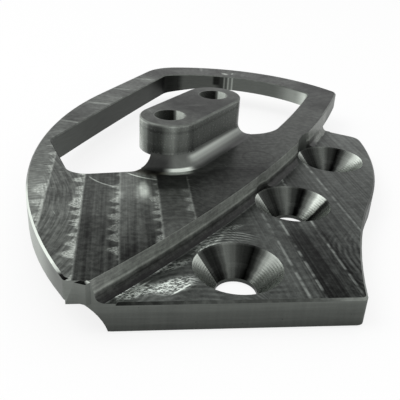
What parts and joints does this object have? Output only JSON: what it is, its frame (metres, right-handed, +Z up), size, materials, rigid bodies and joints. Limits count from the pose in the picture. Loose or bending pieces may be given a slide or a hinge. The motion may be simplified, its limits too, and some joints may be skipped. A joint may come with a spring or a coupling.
{
  "type": "stepped mounting bracket",
  "caption": "Flat machined bracket: a D-shaped window in a ring, a step down to a flange with a row of countersunk holes, and a tall obround boss standing at the window's edge.",
  "frame": {"origin": "axis of the middle countersunk hole, on the flat underside of the low flange", "axes": "+Z up through the flange and along every hole, +Y along the row of countersunk holes, +X from the step to the outer edge of the flange"},
  "size_m": [0.1044, 0.1457, 0.0219],
  "materials": {
    "machined_aluminium": "milled, uncoated"
  },
  "bodies": {
    "root": {"stepped_bracket": "machined_aluminium"}
  },
  "joints": []
}
